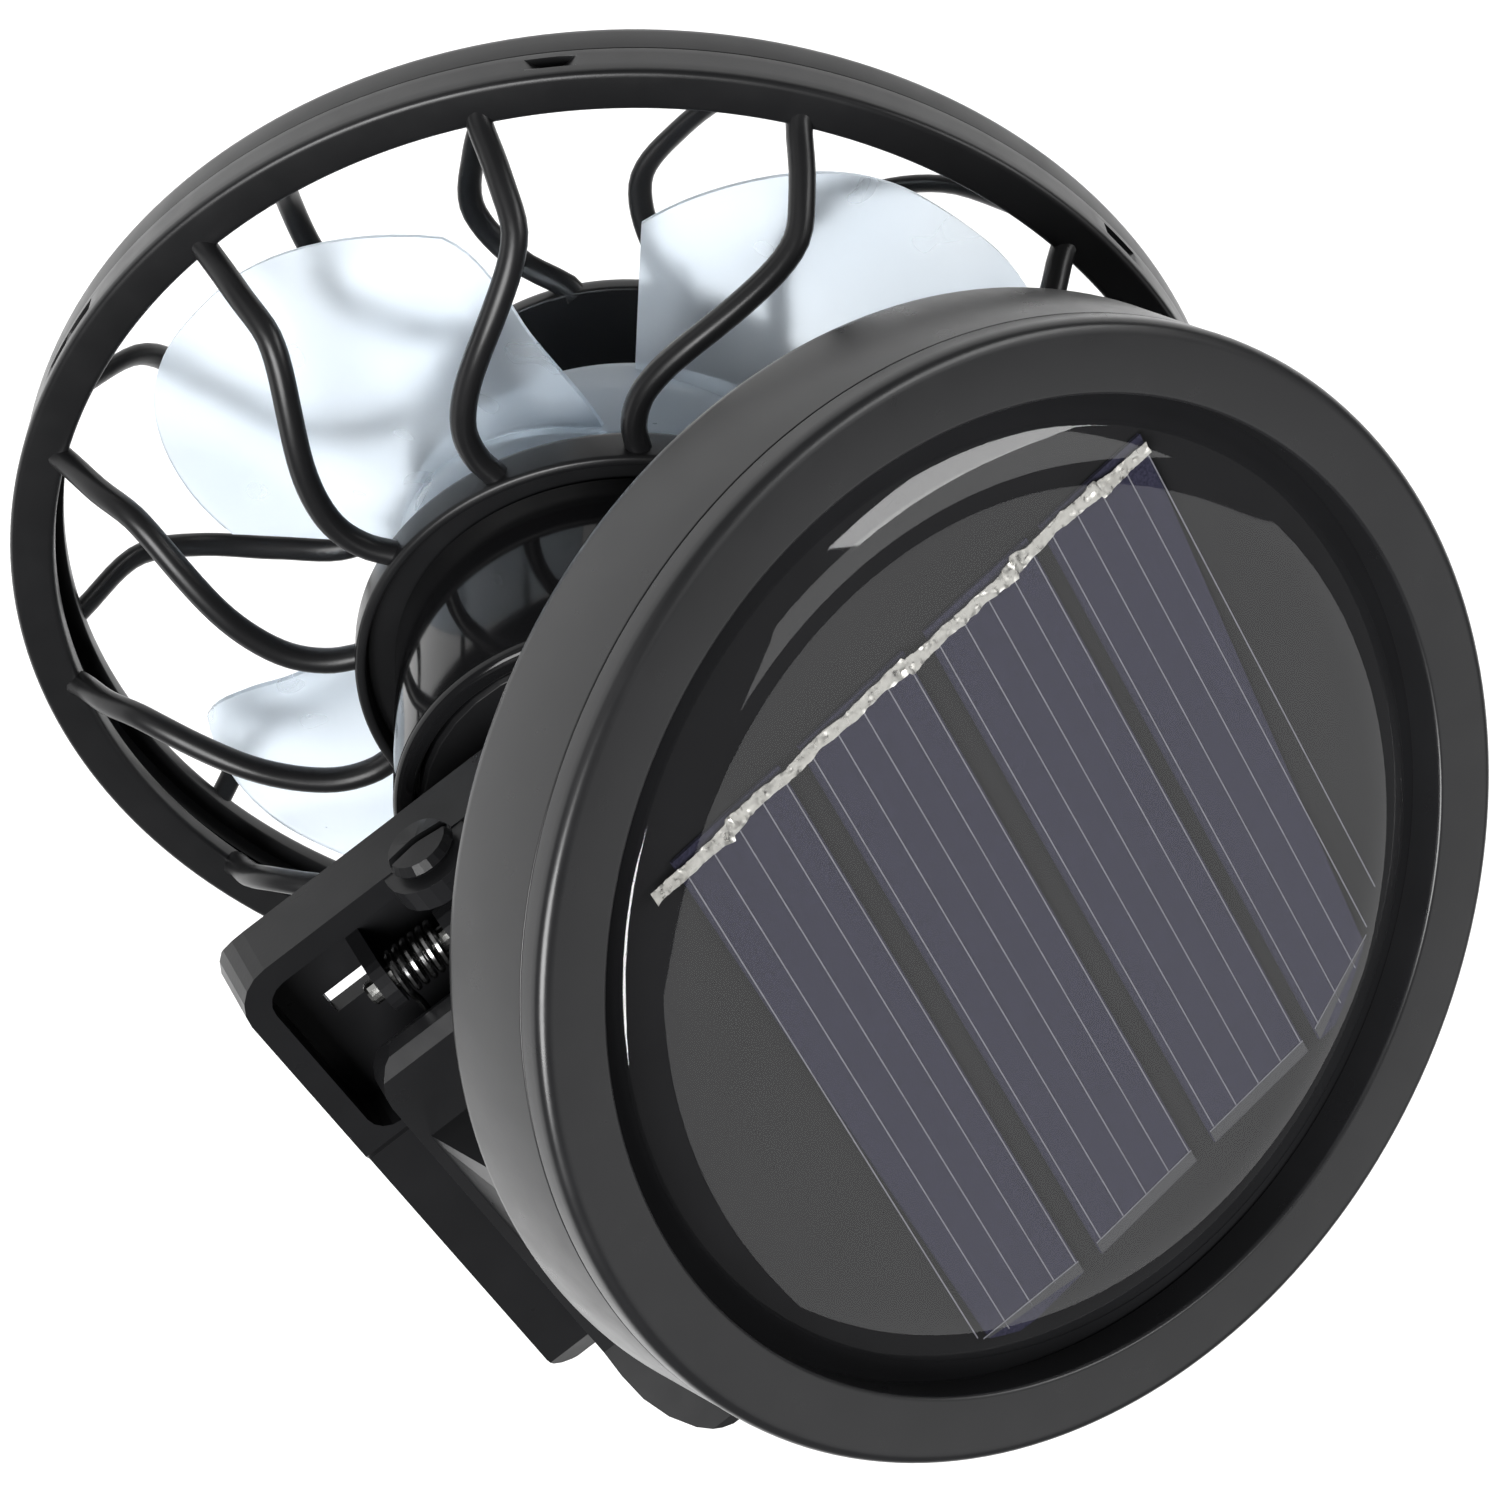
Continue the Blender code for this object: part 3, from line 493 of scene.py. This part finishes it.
def crinkled_ribbon():
    """Thin tinned strip over the cells' left ends, creased most where two lengths meet."""
    work = bmesh.new()
    rows = 260
    across = 6
    sheets = []
    for face in (0.0, RIBBON_THICK):
        sheet = []
        for i in range(rows + 1):
            v = RIBBON_LOW + (RIBBON_HIGH - RIBBON_LOW) * i / rows
            crumple = max(math.exp(-((v - joint) / 1.1) ** 2) for joint in RIBBON_JOINTS)
            laid = sum(1 for joint in RIBBON_JOINTS if v > joint)
            drift = 0.14 * (-1) ** laid + 0.2 * noise.noise(Vector((v * 0.35, 3.0, 0.0)))
            wide = 0.5 + 0.24 * crumple + 0.12 * noise.noise(Vector((v * 0.9, 9.0, 1.0)))
            line = []
            for j in range(across + 1):
                share = j / across - 0.5
                u = RIBBON_MIDDLE + drift + share * 2.0 * wide
                z = RIBBON_HEIGHT + (0.11 + 0.07 * crumple) * crease(u, v) + face
                line.append(work.verts.new((u, v, z)))
            sheet.append(line)
        sheets.append(sheet)
    add_skin(work, *sheets)
    piece("crinkled_ribbon", work, SOLAR @ CELL_TURN, "upper_jaw", RIBBON, "cell_ribbon", sharp=25.0)


# Fan head.

ROD_R = 0.95
RING_STEPS = 240
SNAP_WINDOWS = (30.0, 99.5, 157.0, 208.8, 213.6, 281.6, 335.0)
SNAP_HALF_ANGLE = 1.7
SNAP_DEPTH = 0.9
SNAP_LOW = 2.8
SNAP_HIGH = 4.1
SNAP_WALL_R = 45.2
SPOKES = 12
REAR_RISE = ((19.0, 14.3), (29.0, 14.3), (33.0, 13.4), (37.0, 11.4), (40.0, 8.6), (42.4, 5.1), (43.2, 4.4))
REAR_BEND = ((19.0, 14.9), (22.0, 16.6), (25.5, 14.5), (33.0, 3.4), (37.0, -0.6), (40.0, -0.2), (42.4, 1.0))
FRONT_RISE = ((15.7, -8.9), (19.0, -10), (24.0, -11), (29.0, -11), (34.0, -9.8), (38.0, -6.2), (42.9, 0.2))
FRONT_BEND = ((16.0, -3.0), (19.0, 7.0), (24.0, 11.0), (29.0, 6.0), (34.0, 0.0), (38.0, -5.0), (42.0, -5.0))


def add_spokes(work, first, inner, outer, bend, rise, flatness):
    """Bent rods from the ring to the middle: bend is degrees and rise is height, both by radius."""
    samples = 36
    for number in range(SPOKES):
        start = first + 360.0 / SPOKES * number
        path = []
        for k in range(samples + 1):
            radius = outer + (inner - outer) * k / samples
            path.append(polar(radius, start + through(bend, radius), through(rise, radius)))
        add_rod(work, path, ROD_R, 14, flatness)


def press_windows(work):
    """Sink the small snap windows into the ring's outer wall."""
    for vert in work.verts:
        radius = math.hypot(vert.co.x, vert.co.y)
        if radius < SNAP_WALL_R or not SNAP_LOW < vert.co.z < SNAP_HIGH:
            continue
        degrees = math.degrees(math.atan2(vert.co.y, vert.co.x)) % 360.0
        if any(abs(degrees - window) < SNAP_HALF_ANGLE for window in SNAP_WINDOWS):
            vert.co.x *= 1.0 - SNAP_DEPTH / radius
            vert.co.y *= 1.0 - SNAP_DEPTH / radius


def rear_cage():
    work = bmesh.new()
    ring = [
        (42.3, 3.7, 0.15),
        (42.3, 5.3, 0.5),
        (45.6, 5.3, 0.8),
        (45.49, 4.15, 0.0),
        (45.48, 4.05, 0.0),
        (45.34, 2.85, 0.0),
        (45.33, 2.75, 0.0),
        (45.25, 2.05, 0.12),
        (43.9, 2.05, 0.0),
        (43.9, 3.7, 0.0),
    ]
    add_turned(work, softened(ring), RING_STEPS)
    press_windows(work)
    collar = [
        (3.4, 12.6, 0.0),
        (20.1, 12.6, 0.6),
        (20.1, 15.7, 0.45),
        (19.3, 15.7, 0.3),
        (19.2, 14.1, 0.2),
        (3.4, 14.1, 0.0),
    ]
    add_turned(work, softened(collar))
    add_spokes(work, 13.0, 19.7, 43.2, REAR_BEND, REAR_RISE, 1.0)
    piece("rear_cage", work, FAN, "fan_head", SATIN, "rear_guard")


def front_cage():
    work = bmesh.new()
    ring = [
        (41.9, 0.6, 0.15),
        (41.9, -1.0, 0.6),
        (45.0, -1.0, 0.9),
        (45.15, 1.95, 0.12),
        (43.5, 1.95, 0.0),
        (43.3, 0.6, 0.0),
    ]
    add_turned(work, softened(ring), RING_STEPS)
    disc = [(0.0, -9.9, 0.0), (16.3, -9.9, 0.9), (16.3, -8.4, 0.3), (0.0, -8.4, 0.0)]
    add_turned(work, softened(disc))
    add_spokes(work, 106.0, 15.7, 42.9, FRONT_BEND, FRONT_RISE, 0.62)
    piece("front_cage", work, FAN, "fan_head", SATIN, "front_guard")


def barrel():
    work = bmesh.new()
    outline = [
        (14.6, 14.4, 0.0),
        (17.2, 14.4, 0.15),
        (17.2, 30.2, 1.0),
        (15.7, 30.2, 0.25),
        (15.6, 28.2, 0.0),
        (14.6, 28.2, 0.0),
    ]
    add_turned(work, softened(outline, 6))
    piece("glossy_barrel", work, FAN, "fan_head", GLOSS, "motor_barrel")


# Blade edges: degrees or heights by radius.
LOW_EDGE = ((16.2, 155.5), (22.0, 162.0), (26.0, 165.5), (30.0, 167.7), (34.0, 171.5), (38.8, 182.0))
REAR_EDGE = ((16.2, 8.2), (25.0, 8.2), (30.0, 7.2), (35.0, 5.4), (39.0, 3.6))
FRONT_EDGE = ((16.2, 1.8), (30.0, 0.9), (39.0, 1.2))
HIGH_EDGE = 238.0
BLADE_ROOT_R = 16.2
BLADE_TIP_R = 38.4
BLADE_HALF = 0.5
BLADE_EDGE_HALF = 0.18
BLADES = 4


def blade_point(chord, span, turn):
    """A point of the blade's middle sheet, whose tip is rounded off towards both edges."""
    high_corner = 9.0 * max(0.0, (chord - 0.45) / 0.55) ** 2
    low_corner = 4.0 * max(0.0, 1.0 - chord / 0.3) ** 2
    tip = BLADE_TIP_R - high_corner - low_corner
    radius = BLADE_ROOT_R + (tip - BLADE_ROOT_R) * span
    low = through(LOW_EDGE, radius)
    camber = 0.5 * math.sin(math.pi * chord)
    height = through(REAR_EDGE, radius) * (1.0 - chord) + through(FRONT_EDGE, radius) * chord - camber
    return polar(radius, turn + low + (HIGH_EDGE - low) * chord, height)


def add_blade(work, turn):
    """A twisted sheet of even thickness that thins towards its free edges."""
    chords = 40
    spans = 24
    middle = []
    for i in range(chords + 1):
        middle.append([blade_point(i / chords, j / spans, turn) for j in range(spans + 1)])
    sheets = []
    for side in (-1.0, 1.0):
        sheet = []
        for i in range(chords + 1):
            line = []
            for j in range(spans + 1):
                edge = min(i, chords - i, spans - j, 3) / 3
                along = middle[min(i + 1, chords)][j] - middle[max(i - 1, 0)][j]
                across = middle[i][min(j + 1, spans)] - middle[i][max(j - 1, 0)]
                normal = along.cross(across).normalized()
                half = BLADE_EDGE_HALF + (BLADE_HALF - BLADE_EDGE_HALF) * edge
                line.append(work.verts.new(middle[i][j] + normal * side * half))
            sheet.append(line)
        sheets.append(sheet)
    add_skin(work, *sheets)


def bladed_wheel():
    work = bmesh.new()
    hub = [
        (0.0, 0.6, 0.0),
        (17.0, 0.6, 1.2),
        (17.0, 9.2, 0.3),
        (15.5, 9.2, 0.3),
        (15.5, 2.3, 0.4),
        (3.4, 2.3, 0.2),
        (3.4, 10.5, 0.2),
        (1.2, 10.5, 0.0),
        (1.2, 3.0, 0.0),
        (0.0, 3.0, 0.0),
    ]
    add_turned(work, softened(hub))
    for number in range(BLADES):
        add_blade(work, 360.0 / BLADES * number)
    piece("bladed_wheel", work, FAN, "rotor", BLADE, "impeller", sharp=60.0)


# Clip.

PIVOT_X = -24.0
PIVOT_Z = 0.5
COIL_R = 1.55
COIL_TURNS = 5.6
COIL_NEAR = 2.7
COIL_FAR = 6.45
LEG_END = -14.6
WIRE_R = 0.3


def spring(name, sign, node):
    """A close coil round the pin with one leg under each jaw."""
    work = bmesh.new()
    steps = 20
    total = round(COIL_TURNS * steps)
    path = [Vector((LEG_END, sign * COIL_NEAR, -3.3)), Vector((-18.5, sign * COIL_NEAR, -3.0))]
    for k in range(total + 1):
        angle = -0.5 * math.pi - 2.0 * math.pi * k / steps
        x = PIVOT_X + COIL_R * math.cos(angle)
        y = sign * (COIL_NEAR + (COIL_FAR - COIL_NEAR) * k / total)
        path.append(Vector((x, y, PIVOT_Z + COIL_R * math.sin(angle))))
    path.append(Vector((path[-1].x + 2.0, sign * COIL_FAR, 0.3)))
    path.append(Vector((LEG_END, sign * COIL_FAR, 0.3)))
    add_rod(work, path, WIRE_R, 8)
    piece(name, work, ROW, "lower_jaw", WIRE, node)


def dress_cad(material, bevel, *nodes):
    """Give CAD nodes that keep their shape a material, smooth shading and broken edges."""
    for node in nodes:
        obj = NODES[node]
        obj.data.materials.clear()
        obj.data.materials.append(material)
        if bevel:
            weld = obj.modifiers.new("weld", "WELD")
            weld.merge_threshold = 0.000002
            edge = obj.modifiers.new("edges", "BEVEL")
            edge.width = bevel * MM
            edge.segments = 3
            edge.limit_method = "ANGLE"
            edge.angle_limit = math.radians(35.0)
            edge.harden_normals = False
        smooth = obj.modifiers.new("smooth", "WEIGHTED_NORMAL")
        smooth.keep_sharp = True


solar_shell()
solar_rim()
resin_lens()
cell_print()
crinkled_ribbon()
rear_cage()
front_cage()
barrel()
bladed_wheel()
spring("left_spring", -1, "torsion_spring_left")
spring("right_spring", 1, "torsion_spring_right")
dress_cad(CLIP, 0.35, "lower_jaw")
dress_cad(HOUSING_SATIN, 0.6, "upper_jaw")
dress_cad(SATIN, 0.2, "barrel_cap")
dress_cad(RUBBER, 0.15, "lower_grip_pad", "upper_grip_pad")
dress_cad(BOARD, 0.0, "panel_board")
dress_cad(CELL, 0.0, "solar_cell_1", "solar_cell_2", "solar_cell_3", "solar_cell_4")
dress_cad(STEEL, 0.0, "pivot_pin", "fan_hinge_pin", "housing_screw_1", "housing_screw_2")
dress_cad(STEEL, 0.0, "motor_can", "motor_shaft", "armature_core")
dress_cad(DARK_SCREW, 0.08, "clip_screw")
dress_cad(NYLON, 0.0, "motor_end_bell")
dress_cad(BRASS, 0.0, "motor_bush")
dress_cad(FERRITE, 0.0, "magnet_left", "magnet_right")
dress_cad(COPPER, 0.0, "brush_terminal_left", "brush_terminal_right", "commutator")
dress_cad(COPPER, 0.0, "armature_winding_1", "armature_winding_2", "armature_winding_3")


# Camera, floor and lights. Places are in metres.

CAMERA_PLACE = (-0.2221, 0.0168, 0.2798)
CAMERA_RIGHT = (0.4857, 0.7944, 0.3647)
CAMERA_UP = (-0.6501, 0.6072, -0.4568)
FLOOR_DROP = 0.3
FLOOR_HALF = 6.0
CENTRE = (-0.01, 0.02, 0.0)
UPPER_LEFT = (-0.83, 0.46, 0.32)


def add_light(name, place, across, size, power):
    """An area light facing the middle of the object, with its width along a direction."""
    back = (Vector(place) - Vector(CENTRE)).normalized()
    wide = Vector(across)
    wide = (wide - back * wide.dot(back)).normalized()
    data = bpy.data.lights.new(name, "AREA")
    data.shape = "RECTANGLE"
    data.size, data.size_y = size
    data.energy = power
    light = bpy.data.objects.new(name, data)
    turn = Matrix((wide, back.cross(wide), back)).transposed().to_4x4()
    light.matrix_world = Matrix.Translation(place) @ turn
    bpy.context.scene.collection.objects.link(light)


def add_camera():
    data = bpy.data.cameras.new("camera")
    data.lens = 120.0
    data.sensor_width = 36.0
    data.clip_start = 0.01
    data.clip_end = 20.0
    camera = bpy.data.objects.new("camera", data)
    bpy.context.scene.collection.objects.link(camera)
    right = Vector(CAMERA_RIGHT)
    up = Vector(CAMERA_UP)
    back = right.cross(up)
    turn = Matrix((right, up, back)).transposed().to_4x4()
    camera.matrix_world = Matrix.Translation(CAMERA_PLACE) @ turn
    bpy.context.scene.camera = camera


def add_floor():
    work = bmesh.new()
    bmesh.ops.create_grid(work, x_segments=1, y_segments=1, size=FLOOR_HALF)
    data = bpy.data.meshes.new("floor")
    work.to_mesh(data)
    work.free()
    material = new_material("pale_floor", (0.93, 0.93, 0.93), 0.8)
    tint(material, add_noise(material, 3.0), (0.92, 0.92, 0.92), (0.94, 0.94, 0.94))
    data.materials.append(material)
    floor = bpy.data.objects.new("floor", data)
    floor.location.z = cad_box[0][2] - FLOOR_DROP
    bpy.context.scene.collection.objects.link(floor)


def add_world(strength):
    world = bpy.data.worlds.new("studio")
    world.use_nodes = True
    background = world.node_tree.nodes["Background"]
    background.inputs["Color"].default_value = (1.0, 1.0, 1.0, 1.0)
    background.inputs["Strength"].default_value = strength
    bpy.context.scene.world = world


add_camera()
add_floor()
add_world(0.12)
bpy.context.scene.view_settings.view_transform = "Standard"
add_light("window_softbox", (1.076, 0.654, 0.989), UPPER_LEFT, (0.93, 1.42), 3.9)
add_light("crescent_strip", (0.209, 1.074, 1.053), UPPER_LEFT, (0.42, 0.97), 1.9)
add_light("crescent_edge", (-0.137, 1.258, 0.837), UPPER_LEFT, (0.37, 1.03), 8.0)
add_light("left_softbox", (-1.1, -0.35, 0.35), (0.0, 1.0, 0.0), (0.8, 0.7), 0.9)
add_light("overhead", (-0.8, -1.5, 2.3), (1.0, 0.0, 0.0), (1.6, 1.6), 145.0)
